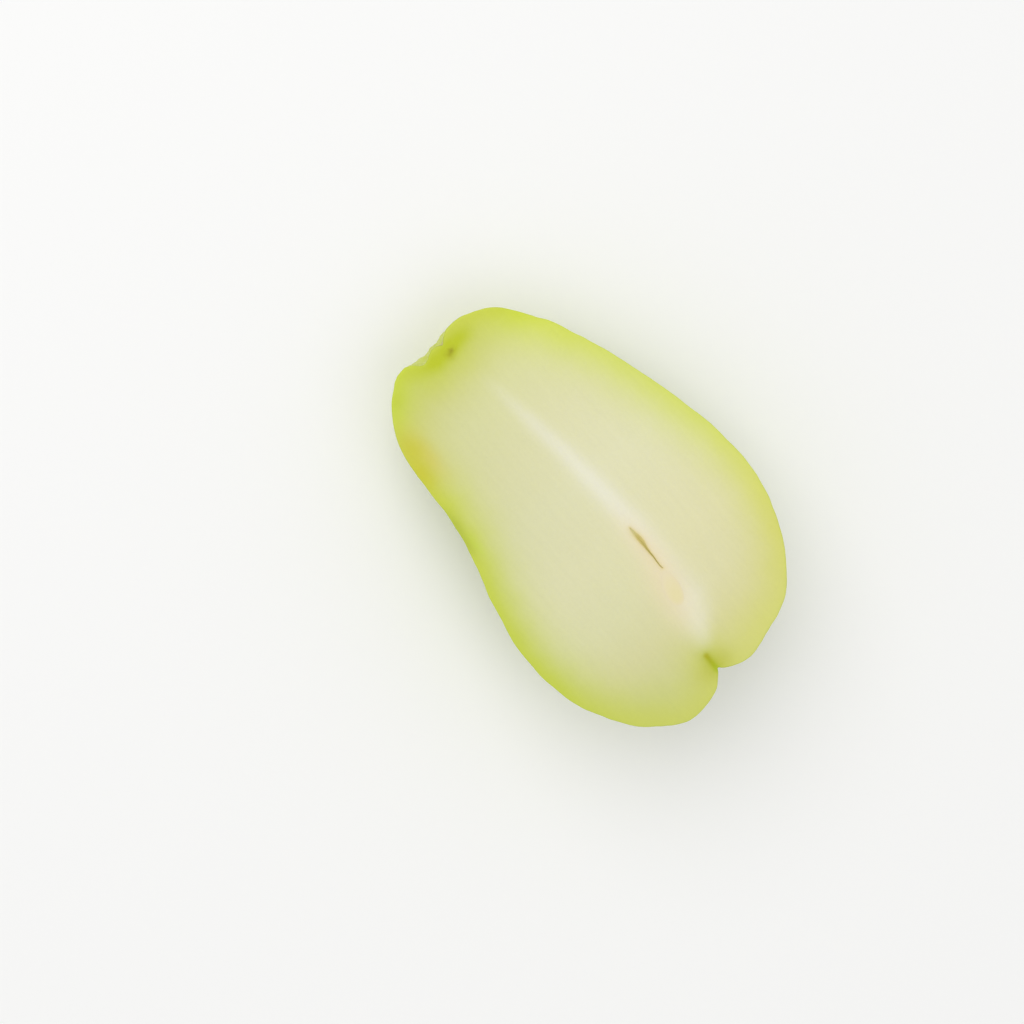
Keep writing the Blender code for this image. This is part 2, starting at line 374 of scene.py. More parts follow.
# Pimples: radii in mm, and where they lie, as shares of the length and round the skin.
PIMPLES, PIMPLE_HEIGHT, PIMPLE_RADII = 420, 0.2, (0.6, 1.25)
PIMPLE_SHARES, PIMPLE_ANGLES = (0.03, 0.96), (0.02, math.pi - 0.02)
PIMPLE_SCATTER = 11  # which random scatter of them is used
# Folds of the skin round the stem pit, by shares of the length, and clear of the cut's edge.
PUCKERS, PUCKER_HEIGHT, PUCKER_WANDER = 11, 0.24, 1.3
PUCKER_RISE, PUCKER_FALL, PUCKER_CLEAR = (0.012, 0.03), (0.05, 0.10), (0.25, 0.7)
SMOOTH_STEM, SMOOTH_CLEFT = (0.004, 0.03), (0.93, 0.965)  # where the relief begins and ends


def skin_relief(places, share, angle):
    """How far the skin stands out at each point, in mm, the painted highlight on its crests, and its
    pimples.
    """
    lift, crest_highlight = np.zeros(len(places)), np.zeros(len(places))
    for wavelength, pattern, stretch, height, highlight_share in SKIN_RELIEF:
        rough = rough_field(places, wavelength, pattern, stretch)
        lift += height * rough
        crest_highlight += highlight_share * rough
    random = np.random.default_rng(PIMPLE_SCATTER)
    spots = skin(random.uniform(*PIMPLE_SHARES, PIMPLES), random.uniform(*PIMPLE_ANGLES, PIMPLES))
    radii = random.uniform(*PIMPLE_RADII, PIMPLES)
    pimple = np.zeros(len(places))
    for spot, radius in zip(spots, radii):
        near = np.abs(places[:, 0] - spot[0]) < 3 * radius
        away = np.linalg.norm(places[near] - spot, axis=1)
        pimple[near] = np.maximum(pimple[near], np.exp(-((away / radius) ** 2)) * radius)
    lift = (lift + PIMPLE_HEIGHT * pimple) * (1 - ease(*SMOOTH_CLEFT, share))
    folds = np.cos(PUCKERS * angle + PUCKER_WANDER * np.sin(3 * angle))
    folds *= ease(*PUCKER_RISE, share) * (1 - ease(*PUCKER_FALL, share))
    lift += PUCKER_HEIGHT * folds * ease(*PUCKER_CLEAR, np.sin(angle))
    return lift * ease(*SMOOTH_STEM, share), ease(*CREST_HIGHLIGHT_RANGE, crest_highlight), pimple


def rim_loop(bm):
    """The open edge's vertices, in order round it."""
    edge = next(e for e in bm.edges if e.is_boundary)
    first, vert = edge.verts
    loop = [first]
    while vert is not first:
        loop.append(vert)
        edge = next(e for e in vert.link_edges if e.is_boundary and e is not edge)
        vert = edge.other_vert(vert)
    return loop


CREASE = ((110.8, -0.05), (115.4, -0.1))  # where the blossom lobes press together
CREASE_LEAD = 2.0  # mm before its inner end where its walls begin
CREASE_GAP = 0.25  # mm either way of the crease that counts as inside it
CREASE_SIDE = 0.25  # mm that its green line lies towards the narrow lobe
CREASE_ROOF = 0.3  # mm of flesh between the cut face and the crease's roof


def in_crease(points):
    """Which points are in the hairline gap between the two blossom lobes."""
    (inner, middle), (mouth, _) = CREASE
    along = (points[:, 0] > inner - CREASE_LEAD) & (points[:, 0] < mouth)
    return along & (np.abs(points[:, 1] - middle) < CREASE_GAP)


def lower_crease(bm):
    """Takes the top of the crease's walls down, so that the cut face can be whole over it."""
    high = [v for v in bm.verts if v.co.z > -2 * CREASE_ROOF]
    for vert, pressed in zip(high, in_crease(np.array([v.co.xy for v in high]))):
        if pressed:
            vert.co.z = vert.co.z / 2 - CREASE_ROOF


def roof_crease(bm):
    """Closes the crease's walls under the cut face."""
    start = CREASE[0][0] - CREASE_LEAD
    open_edges = [e for e in bm.edges if e.is_boundary and e.verts[0].co.x > start]
    filled = bmesh.ops.holes_fill(bm, edges=open_edges, sides=0)["faces"]
    bmesh.ops.triangulate(bm, faces=filled)


# Points of the cut face, in mm
FACE_GRID, FACE_MARGIN = 1.15, 2.4  # between its points, and from the rim to the first of them
RIM_ROWS = ((1, 0.14), (1, 0.34), (1, 0.7), (1, 1.2), (2, 1.9))  # (every which point, in by)
FINE_GRID = 0.42  # closer points round the slit and the seed
FINE_LOW, FINE_HIGH = (66.0, -1.5), (101.0, 12.0)
MOUTH_MARGIN = 0.2  # kept clear round the slit and the seed
MERGE_WITHIN = 1e-5


def face_points(rim_at, slit, seat):
    """Points to hang the cut face's triangles on, clear of the rim and of the two mouths."""
    low, high = rim_at.min(axis=0), rim_at.max(axis=0)
    spread = hex_points(low, high, FACE_GRID)
    spread = spread[inside(spread, rim_at)]
    spread = spread[distance_to(spread, rim_at) > FACE_MARGIN]
    in_fine = ((spread > FINE_LOW) & (spread < FINE_HIGH)).all(axis=1)
    inner = np.concatenate([spread[~in_fine], hex_points(FINE_LOW, FINE_HIGH, FINE_GRID)])
    mouth_gap = np.minimum(distance_to(inner, slit), distance_to(inner, seat))
    inner = inner[(mouth_gap > MOUTH_MARGIN) & ~inside(inner, slit) & ~inside(inner, seat)]
    return np.concatenate([inner_rows(rim_at, RIM_ROWS), inner])


def cut_face(bm):
    """Closes the cut with small triangles, and leaves the slit's and the seed's mouths open."""
    rim = rim_loop(bm)
    rim_at = np.array([v.co.xy for v in rim])
    lower_crease(bm)
    slit, seat = slit_outline(), seed_outline()
    loops = [rim_at, slit, seat]
    edges, base = [], 0
    for loop in loops:
        edges += [(base + i, base + (i + 1) % len(loop)) for i in range(len(loop))]
        base += len(loop)
    points = np.concatenate([*loops, face_points(*loops)])
    found = geometry.delaunay_2d_cdt([Vector(p) for p in points], edges, [], 0, MERGE_WITHIN)
    flat, triangles, origins = found[0], found[2], found[3]
    flat_at = np.array([tuple(v) for v in flat])
    middles = flat_at[np.array(triangles)].mean(axis=1)
    solid = inside(middles, rim_at) | in_crease(middles)
    keep = solid & ~inside(middles, slit) & ~inside(middles, seat)

    pressed = in_crease(rim_at)  # there the face is whole, and the skin ends under it
    verts = []
    for place, origin in zip(flat, origins):
        on_rim = [i for i in origin if i < len(rim) and not pressed[i]]
        verts.append(rim[on_rim[0]] if on_rim else bm.verts.new((*place, 0)))
    for triangle, kept in zip(triangles, keep):
        if kept:
            face = bm.faces.new([verts[i] for i in triangle])
            face.material_index = FLESH
            face.smooth = True
    roof_crease(bm)
    index = {origin: vert for vert, given in zip(verts, origins) for origin in given}
    slit_verts = [index[len(rim) + i] for i in range(len(slit))]
    seat_verts = [index[len(rim) + len(slit) + i] for i in range(len(seat))]
    for i, vert in enumerate(seat_verts):
        bm.edges.get((seat_verts[i - 1], vert)).smooth = False
    return rim_at, slit_verts, seat_verts


def sink(bm, loop, rows, place):
    """Lined walls down from an open loop, one row for each (share, depth), and a floor."""
    upper = loop
    for share, depth in rows:
        lower = [bm.verts.new(place(v.co, share, depth)) for v in loop]
        for i in range(len(loop)):
            j = (i + 1) % len(loop)
            face = bm.faces.new((upper[i], upper[j], lower[j], lower[i]))
            face.material_index = LINING
            face.smooth = True
        upper = lower
    bm.faces.new(upper).material_index = LINING


# Walls of the slit and of the seed's seat: (share of the outline, mm down)
SLIT_ROWS = ((0.88, 0.05), (0.7, 0.14), (0.5, 0.22), (0.3, 0.3), (0.12, 0.42))
SEAT_ROWS = ((1.0, 0.4), (0.95, 2.0), (0.8, 4.2), (0.5, 6.2), (0.2, 7.1))
SHALLOWEST = 0.35  # the slit's depth at its tips, as a share of its depth where it is widest


def slit_wall(at, share, depth):
    middle, half = smooth_line(SLIT_LINE, at.x)
    crack = middle + CRACK_LEAN * half
    widest = max(half_width for _, _, half_width in SLIT_LINE)
    down = depth * (SHALLOWEST + (1 - SHALLOWEST) * half / widest)
    return at.x, crack + (at.y - crack) * share, -down


def seat_wall(at, share, depth):
    return (
        SEED_MIDDLE[0] + (at.x - SEED_MIDDLE[0]) * share,
        SEED_MIDDLE[1] + (at.y - SEED_MIDDLE[1]) * share,
        -depth,
    )


# The pale core: (along, middle, spread, strength)
STREAK = (
    (9, 2.4, 1.6, 0.0), (20, 3.9, 1.9, 0.28), (30, 5.1, 2.3, 0.62), (40, 6.3, 2.6, 0.80),
    (50, 7.1, 3.0, 0.92), (62, 7.8, 3.3, 1.0), (70, 8.3, 3.5, 0.95), (80, 8.2, 3.8, 0.62),
    (88, 7.6, 4.4, 0.58), (96, 6.2, 5.2, 0.80), (102, 4.2, 4.6, 0.70), (107, 2.2, 3.0, 0.40),
    (111, 0.8, 2.0, 0.0),
)
# Tints of the flesh: name, colour, strength and soft ovals, each as (along, across,
# radius along, radius across, strength).
FLESH_TINTS = (
    ("stem_end", "#C9CD66", 0.75, ((1.0, 5.0, 7.5, 11.0, 0.75), (2.5, -10.0, 6.0, 10.0, 0.6))),
    ("stem_green", "#BDC80C", 0.95, (
        (-1.2, 4.8, 2.9, 4.4, 0.95), (-0.2, -4.4, 3.2, 3.6, 0.95), (-0.6, 0.4, 2.6, 2.6, 0.9),
        (-2.6, 12.0, 2.2, 4.5, 0.12), (-0.2, 18.0, 2.2, 4.5, 0.2), (-1.6, -10.0, 3.2, 5.0, 0.5),
        (1.0, -20.5, 2.6, 3.6, 0.35),
    )),
    ("stem_pit", "#989000", 0.95, ((0.1, 0.5, 0.75, 1.3, 0.95), (1.2, -0.4, 1.3, 1.1, 0.28))),
    ("bruise_rim", "#D8C95C", 0.6, ((18.5, -23.2, 6.5, 2.6, 0.75),)),
    ("yellow_bruise", "#CBC728", 0.78, (
        (14.0, -25.2, 4.6, 3.4, 0.8), (21.2, -27.6, 4.6, 2.8, 0.85),
    )),
    # a darker, more saturated green along the narrow side's edge at the neck
    ("neck_dark_edge", "#9CAA24", 0.85, ((37.0, -30.4, 5.0, 2.2, 0.6), (43.5, -31.4, 4.0, 1.6, 0.55))),
    ("neck_green", "#BFDA20", 0.6, ((45.5, -29.0, 4.0, 1.1, 0.45),)),
    ("slit_tip", "#CFCD80", 0.6, ((71.8, 6.1, 1.9, 0.8, 0.8),)),
    ("blush", "#EDDBB4", 0.75, (
        (76.5, 6.6, 10.0, 3.6, 0.75), (89.0, 4.0, 8.0, 5.0, 0.7), (97.0, 1.5, 6.0, 4.0, 0.3),
    )),
    ("blossom_olive", "#C0C24E", 0.75, ((114.4, -2.4, 3.4, 5.0, 0.7), (114.2, 2.6, 3.2, 3.6, 0.6))),
)


def soft_ovals(x, y, ovals):
    total = np.zeros_like(x)
    for along, across, long_radius, wide_radius, strength in ovals:
        away = ((x - along) / long_radius) ** 2 + ((y - across) / wide_radius) ** 2
        total += strength * np.exp(-away)
    return np.clip(total, 0, 1)


FACE_DEPTH = 0.8  # mm under the cut that still takes the cut face's distances
FAR = 99.0  # mm
SIDES = (-20.0, 20.0)  # mm across, where the narrow side's colours end and the wide side's begin


def face_fields(mesh, places, rim):
    """What the flesh's colours read: distances in mm and the strengths of its tints."""
    x, y = places[:, 0], places[:, 1]
    near = places[:, 2] > -FACE_DEPTH
    edge, slit = np.zeros(len(places)), np.full(len(places), FAR)
    edge[near] = distance_to(places[near][:, :2], rim[~in_crease(rim)])
    slit[near] = distance_to(places[near][:, :2], slit_outline())
    middle, spread, strength = smooth_line(STREAK, x)
    write_field(mesh, "edge_mm", edge)
    write_field(mesh, "slit_mm", slit)
    write_field(mesh, "streak", strength * np.exp(-(((y - middle) / spread) ** 2)))
    write_field(mesh, "wide_side", ease(*SIDES, y))
    write_field(mesh, "crease_mm", distance_to(places[:, :2], np.array(CREASE) - (0, CREASE_SIDE)))
    for name, _, _, ovals in FLESH_TINTS:
        write_field(mesh, name, soft_ovals(x, y, ovals))


# Greens of the furrows, partly the skin's own and partly painted shade: how wide, as shares of a
# furrow's half width, how far past its end they fade, and the shares of the fruit's length in which
# they come in.
FURROW_GREEN_AND_SHADE_WIDTH, SLOPE_WIDTH, GREEN_FADE = 0.62, 1.5, (0.06, 0.16)
FURROW_GREEN_AND_SHADE_RUN, SLOPE_RUN = (0.10, 0.62), (0.05, 0.4)
# the cleft's deeper green is partly painted shade
CLEFT_WIDTH, CLEFT_GREEN_AND_SHADE, CLEFT_RUN = 2.2, 0.8, (0.9, 0.96)  # mm either way of the cleft
SCAR_END, STEM_END = (0.004, 0.012), (0.03, 0.14)


def skin_fields(mesh, places):
    """What the skin's colours read: its furrows, their slopes and the cleft, which carry painted
    shade, and the stem end.
    """
    share, angle = read_field(mesh, "share"), read_field(mesh, "angle")
    furrow_green_and_shade, slope = np.zeros_like(share), np.zeros_like(share)
    for centre, _, half_width, fades in FURROWS:
        across = np.abs(np.degrees(angle) - centre) / half_width
        runs_out = 1 - ease(fades + GREEN_FADE[0], fades + GREEN_FADE[1], share)
        furrow_green_and_shade = np.maximum(furrow_green_and_shade, np.clip(1 - across / FURROW_GREEN_AND_SHADE_WIDTH, 0, 1) ** 1.5 * runs_out)
        slope = np.maximum(slope, np.clip(1 - across / SLOPE_WIDTH, 0, 1) * runs_out)
    cleft = np.exp(-((places[:, 1] / CLEFT_WIDTH) ** 2)) * ease(*CLEFT_RUN, share)
    furrow_green_and_shade = np.maximum(furrow_green_and_shade * ease(*FURROW_GREEN_AND_SHADE_RUN, share), CLEFT_GREEN_AND_SHADE * cleft)
    write_field(mesh, "furrow_green_and_shade", furrow_green_and_shade)
    write_field(mesh, "slope", slope * ease(*SLOPE_RUN, share))
    write_field(mesh, "scar", 1 - ease(*SCAR_END, share))
    write_field(mesh, "stem_bright", 1 - ease(*STEM_END, share))


def fruit_vectors(mesh, places):
    """Each vertex's place in the fruit's frame, in mm, for patterns that follow the fruit."""
    field = mesh.attributes.new("fruit_mm", "FLOAT_VECTOR", "POINT")
    field.data.foreach_set("vector", np.ascontiguousarray(places, np.float32).ravel())


def make_fruit():
    fruit = shaped_skin()
    mesh = fruit.data
    bm = bmesh.new()
    bm.from_mesh(mesh)
    for face in bm.faces:
        face.smooth = True
    rim, slit, seat = cut_face(bm)
    sink(bm, slit, SLIT_ROWS, slit_wall)
    sink(bm, seat, SEAT_ROWS, seat_wall)
    bmesh.ops.recalc_face_normals(bm, faces=bm.faces)
    bm.to_mesh(mesh)
    bm.free()

    places = vertex_places(mesh)
    face_fields(mesh, places, rim)
    skin_fields(mesh, places)
    fruit_vectors(mesh, places)
    round_edges(mesh, places)
    finish_piece(fruit)
    return fruit


FACE_SINK = 0.05  # mm that the moist face lies below the knife's plane
FACE_WAVES = ((0.05, 9.0, 5), (0.015, 2.4, 6))  # (height, mm from crest to crest, pattern)
LEVEL_RUN = (0.3, 3.0)  # mm in from the rim over which the face comes to that height
# What the knife edge loses: (mm in from it, mm down)
RIM_ROUND, SLIT_ROUND, CREASE_ROUND = (0.36, 0.16), (0.6, 0.08), (0.5, 0.12)


def face_level(places):
    """Height of the cut face, in mm, which the knife left very nearly flat."""
    flat = places * (1, 1, 0)
    return sum(height * rough_field(flat, *wave) for height, *wave in FACE_WAVES) - FACE_SINK


def round_edges(mesh, places):
    """Takes the knife edge off the rim and the slit, and gives the face its faint swell."""
    flat = np.abs(places[:, 2]) < ON_RIM
    edge, slit, crease = (read_field(mesh, name)[flat] for name in ("edge_mm", "slit_mm", "crease_mm"))
    places = places.copy()
    places[flat, 2] += face_level(places[flat]) * ease(*LEVEL_RUN, edge)
    for away, (reach, drop) in ((edge, RIM_ROUND), (slit, SLIT_ROUND)):
        places[flat, 2] -= drop * np.clip(1 - away / reach, 0, 1) ** 2
    reach, drop = CREASE_ROUND
    places[flat, 2] -= drop * np.exp(-((crease / reach) ** 2))
    set_places(mesh, places)


def finish_piece(piece):
    """Moves a piece from the fruit's frame, in mm, to the world, and flattens it on the floor."""
    scaled = FRUIT @ Matrix.Diagonal((MM, MM, MM, 1))
    piece.data.transform(scaled)
    places = vertex_places(piece.data)
    places[:, 2] = np.maximum(places[:, 2], 0.0)
    set_places(piece.data, places)


SEED_GRIP = 0.03  # mm that the seed presses into the flesh round it
SEED_CROWN = 0.03  # mm that it swells at its middle
SEED_COLUMNS, SEED_RINGS = 72, 40


def make_seed():
    """The seed half: a ball pressed flat, egg-shaped in the cut and hardly proud of it."""
    seed = add_sphere("seed_half_fine", SEED_COLUMNS, SEED_RINGS)
    mesh = seed.data
    unit = vertex_places(mesh)
    x, y, z = unit[:, 2], unit[:, 0], unit[:, 1]
    out = np.hypot(x, y)
    y *= (SEED_HALF[1] + SEED_GRIP) * (1 + SEED_EGG * x)
    x *= SEED_HALF[0] + SEED_GRIP
    c, s = math.cos(SEED_TURN), math.sin(SEED_TURN)
    places = np.column_stack([SEED_MIDDLE[0] + c * x - s * y, SEED_MIDDLE[1] + s * x + c * y, z])
    crown = face_level(places) + SEED_CROWN * (1 - out**2)
    places[:, 2] = np.where(z > -ON_RIM, crown, SEED_HALF[2] * z)
    set_places(mesh, places)
    bpy.ops.object.shade_smooth_by_angle(angle=math.radians(40))
    write_field(mesh, "from_middle", out)
    fruit_vectors(mesh, places)
    finish_piece(seed)
    return seed


# ---------------------------------------------------------------------------------------
# Materials
# ---------------------------------------------------------------------------------------
def linear(code):
    """Linear RGBA of an sRGB hex colour."""
    channels = [int(code[i : i + 2], 16) / 255 for i in (1, 3, 5)]
    return (*[c / 12.92 if c <= 0.04045 else ((c + 0.055) / 1.055) ** 2.4 for c in channels], 1)


def add_node(tree, kind, inputs=(), output=0, **settings):
    """Adds a node with its settings and links, and returns one of its outputs.

    inputs go in the order of its sockets, or by their names or numbers. Each is a value, a
    hex colour, an output to link or the name of a field that is stored on the mesh.
    """
    made = tree.nodes.new("ShaderNode" + kind)
    for name, value in settings.items():
        setattr(made, name, value)
    pairs = inputs.items() if isinstance(inputs, dict) else enumerate(inputs)
    for key, value in pairs:
        if isinstance(value, str) and not value.startswith("#"):
            value = add_node(tree, "Attribute", output="Fac", attribute_name=value)
        if isinstance(value, bpy.types.NodeSocket):
            tree.links.new(value, made.inputs[key])
        else:
            made.inputs[key].default_value = linear(value) if isinstance(value, str) else value
    return made.outputs[output]


def new_material(name):
    """A material and its empty node tree."""
    material = bpy.data.materials.new(name)
    material.use_nodes = True
    material.node_tree.nodes.clear()
    return material, material.node_tree


def surface(tree, inputs):
    """Ends a material with a Principled shader that has these inputs."""
    shader = add_node(tree, "BsdfPrincipled", inputs)
    output = tree.nodes.new("ShaderNodeOutputMaterial")
    tree.links.new(shader, output.inputs["Surface"])


# Sockets of a Mix node that mixes colours
MIX_AMOUNT, MIX_UNDER, MIX_OVER, MIX_RESULT = 0, 6, 7, 2


def layered(tree, colour, over, amount, strength=1.0):
    """Lays a colour over another, by an amount of 0 to 1 times a strength."""
    weight = add_node(tree, "Math", (amount, strength), operation="MULTIPLY")
    layers = {MIX_AMOUNT: weight, MIX_UNDER: colour, MIX_OVER: over}
    return add_node(tree, "Mix", layers, MIX_RESULT, data_type="RGBA")


def falloff(tree, distance, reach, sharpness=1.0):
    """1 at no distance, about a third at the reach and then soon nothing."""
    share = add_node(tree, "Math", (distance, reach), operation="DIVIDE")
    raised = add_node(tree, "Math", (share, sharpness), operation="POWER")
    minus = add_node(tree, "Math", (raised, -1.0), operation="MULTIPLY")
    return add_node(tree, "Math", (minus,), operation="EXPONENT")


def noise_of(tree, place, size, detail=3.0, stretch=1.0):
    """Noise 0 to 1 whose features are size mm across, drawn out along the fruit."""
    scale = (1 / (size * stretch), 1 / size, 1 / size)
    scaled = add_node(tree, "VectorMath", (place, scale), operation="MULTIPLY")
    return add_node(tree, "TexNoise", {"Vector": scaled, "Scale": 1.0, "Detail": detail})


FRUIT_SPAN = (-6.0, 122.0)  # mm along the fruit that a ramp covers


def along_ramp(tree, share, stops):
    """A colour that changes over the span: stops are (mm from the stem, hex colour)."""
    low, high = FRUIT_SPAN
    colour = add_node(tree, "ValToRGB", (share,))
    ramp = colour.node.color_ramp
    while len(ramp.elements) < len(stops):
        ramp.elements.new(0.5)
    for element, (place, code) in zip(ramp.elements, stops):
        element.position = (place - low) / (high - low)
        element.color = linear(code)
    return colour


# Flesh colours along the fruit, in from the rim and at the core, on either side; the narrow
# side's are darker, partly from its own greener tone and partly as painted shade.
RIM_WIDE = (
    (-4, "#D0D844"), (4, "#CFDB3C"), (11, "#D5DF56"), (30, "#D6DE6C"), (62, "#D7DE6E"),
    (82, "#D8DB6E"), (96, "#D7D770"), (118, "#D5D678"),
)
RIM_NARROW = (
    (-4, "#CBD93A"), (2, "#C8D842"), (11, "#CBCE4E"), (20, "#C9CB40"), (32, "#C9D348"),
    (60, "#C6D14A"), (92, "#C4CF4A"), (120, "#CACF64"),
)
CORE_WIDE = (
    (4, "#D7D992"), (16, "#DDDDA5"), (32, "#E0DEB1"), (52, "#E3E1B9"), (80, "#E2DEB1"),
    (95, "#DFDBAC"), (108, "#DAD69C"), (118, "#D6D490"),
)
CORE_NARROW = (
    (4, "#CED086"), (20, "#D6D79E"), (36, "#D9D8A6"), (52, "#DBDAAE"), (70, "#DEDCB1"),
    (86, "#DBDAAC"), (100, "#D6D49E"), (112, "#CDCF8C"),
)
# Sizes in the flesh, in mm
RIM_REACH, RIM_FALL = 8.8, 1.7  # how far in the green runs, and how sharply it then ends
WANDER_SIZE, WANDER = 7.0, 1.2  # how long the swings of its inner edge are, and how far
PEEL_REACH, LIP_REACH = 0.333, 0.385  # how far in the peel and the slit's lips show
CREASE_REACH, SEAM_REACH = 1.67, 0.845  # how far the crease's green and its dark line show
# Cells and fibres are finer than this in the fruit, and are drawn this coarse to show.
GRAIN_SIZE, FIBRE_SIZE, FIBRE_STRETCH = 1.1, 1.6, 9.0
WET_SIZE = 4.0  # of its wetter and drier patches


def flesh_colour(tree, place, grain, fibre):
    """Cream at the core and green at the rim, and over that the pith, the tints and the lips."""
    along = add_node(tree, "SeparateXYZ", (place,))
    share = add_node(tree, "MapRange", (along, *FRUIT_SPAN, 0, 1))
    core_narrow, core_wide, rim_narrow, rim_wide = (
        along_ramp(tree, share, stops) for stops in (CORE_NARROW, CORE_WIDE, RIM_NARROW, RIM_WIDE)
    )
    swings = noise_of(tree, place, WANDER_SIZE)
    wander = add_node(tree, "MapRange", (swings, 0, 1, -WANDER, WANDER))
    inward = add_node(tree, "Math", ("edge_mm", wander), operation="ADD")
    inward = add_node(tree, "Math", (inward, 0), operation="MAXIMUM")
    # painted shade in part: the narrow side's core and rim colours are the darker ones
    core = layered(tree, core_narrow, core_wide, "wide_side")
    rim = layered(tree, rim_narrow, rim_wide, "wide_side")
    colour = layered(tree, core, rim, falloff(tree, inward, RIM_REACH, RIM_FALL))

    colour = layered(tree, colour, "#EBE9D3", "streak", 0.92)
    for name, tint, strength, _ in FLESH_TINTS:
        colour = layered(tree, colour, tint, name, strength)
    (inner, _), (mouth, _) = CREASE
    seam = layered(tree, "#ADAA12", "#A6BA00", add_node(tree, "MapRange", (along, inner, mouth, 0, 1)))
    colour = layered(tree, colour, "#B0BA12", falloff(tree, "crease_mm", CREASE_REACH), 0.85)
    colour = layered(tree, colour, seam, falloff(tree, "crease_mm", SEAM_REACH, 2), 0.85)
    colour = layered(tree, colour, "#DCC870", falloff(tree, "slit_mm", LIP_REACH), 0.7)
    colour = layered(tree, colour, "#C0D244", falloff(tree, "edge_mm", PEEL_REACH), 0.42)

    mottle = add_node(tree, "Math", (grain, fibre), operation="ADD")
    tone = add_node(tree, "MapRange", (mottle, 0, 2, 0.95, 1.05))
    toned = {MIX_AMOUNT: 1, MIX_UNDER: colour, MIX_OVER: tone}
    return add_node(tree, "Mix", toned, MIX_RESULT, data_type="RGBA", blend_type="MULTIPLY")


def fresh_cut_flesh():
    """Raw chayote cut with a knife: crisp and watery, so moist, faintly clear and smooth.

    The flesh is cream at the core and yellow-green towards the peel, with a white band of
    pith down the middle and faint fibres running with the fruit.
    """
    material, tree = new_material("fresh_cut_flesh")
    place = add_node(tree, "Attribute", output="Vector", attribute_name="fruit_mm")
    grain = noise_of(tree, place, GRAIN_SIZE, 5)
    fibre = noise_of(tree, place, FIBRE_SIZE, 3, FIBRE_STRETCH)
    relief = add_node(tree, "Math", (fibre, 0.8, grain), operation="MULTIPLY_ADD")
    surface(tree, {
        "Base Color": flesh_colour(tree, place, grain, fibre),
        "Roughness": add_node(tree, "MapRange", (noise_of(tree, place, WET_SIZE), 0, 1, 0.26, 0.5)),
        "IOR": 1.36,
        "Subsurface Weight": 0.1,
        "Subsurface Radius": (1.0, 0.95, 0.45),
        "Subsurface Scale": 0.0012,
        "Normal": add_node(tree, "Bump", {"Height": relief, "Strength": 0.3, "Distance": 0.0002}),
    })
    return material


# Sizes of the skin's patches, in mm
CLOUD_SIZE, YELLOWING_SIZE, FLECK_SIZE, RIPPLE_SIZE = 16.0, 26.0, 1.3, 3.2


def skin_colour(tree, place, fleck):
    """Pale lobes, paler on their lumps as painted highlight, that turn green down to the furrows
    partly as painted shade, with patches, freckles and a scar.
    """
    cloud = noise_of(tree, place, CLOUD_SIZE, 4, 1.6)
    # painted highlight: the lobes paler on their raised lumps and darker between them
    lobe = layered(tree, "#CFD87C", "#DEE49C", "crest_highlight")
    side = layered(tree, "#A2B41C", "#C0CC58", cloud)
    patchy = add_node(tree, "MapRange", (cloud, 0, 1, 0.72, -0.98))
    # greener down the lobes' sides towards the furrows, partly as painted shade
    down = add_node(tree, "Math", ("slope", 1.5, patchy), operation="MULTIPLY_ADD")
    colour = layered(tree, lobe, side, down)
    yellow = noise_of(tree, place, YELLOWING_SIZE, 2)
    yellow = add_node(tree, "MapRange", (yellow, 0.55, 0.75, 0, 1))
    freckles = add_node(tree, "MapRange", (fleck, 0.55, 0.883, 0, 1))
    for over, amount, strength in (
        ("#CFC548", yellow, 0.45), ("#E2E7A8", "pimple", 0.26), ("#DFE69C", freckles, 0.3),
        # painted shade in part: deeper green in the furrows and the cleft
        ("#C6D04C", "stem_bright", 0.9), ("#869A04", "furrow_green_and_shade", 0.8), ("#C0B672", "scar", 0.8),
    ):
        colour = layered(tree, colour, over, amount, strength)
    return colour


def waxy_green_skin():
    """Chayote skin: thin, waxy and satin, its green deeper in the furrows partly as painted shade, and
    paler on its lumps as painted highlight.
    """
    material, tree = new_material("waxy_green_skin")
    place = add_node(tree, "Attribute", output="Vector", attribute_name="fruit_mm")
    fleck = noise_of(tree, place, FLECK_SIZE)
    ripple = noise_of(tree, place, RIPPLE_SIZE, 2, 1.5)
    relief = add_node(tree, "Math", (fleck, 0.35, ripple), operation="MULTIPLY_ADD")
    surface(tree, {
        "Base Color": skin_colour(tree, place, fleck),
        "Roughness": add_node(tree, "MapRange", (fleck, 0, 1, 0.32, 0.52)),
        "IOR": 1.45,
        "Subsurface Weight": 0.12,
        "Subsurface Radius": (1.0, 1.0, 0.3),
        "Subsurface Scale": 0.0012,
        "Normal": add_node(tree, "Bump", {"Height": relief, "Strength": 0.6, "Distance": 0.0009}),
    })
    return material


# mm along the fruit over which the lining and the seed change colour
SLIT_TIP, SLIT_TEAR, SEED_TIP = (70.3, 73.2), (75.0, 80.0), (86.0, 94.0)
# the lining's darkening with depth is painted shade over its own tan and brown
DARK_BY = -0.45  # mm down at which the lining is darkest
LINING_GRAIN, SEED_GRAIN = 0.8, 1.2  # mm


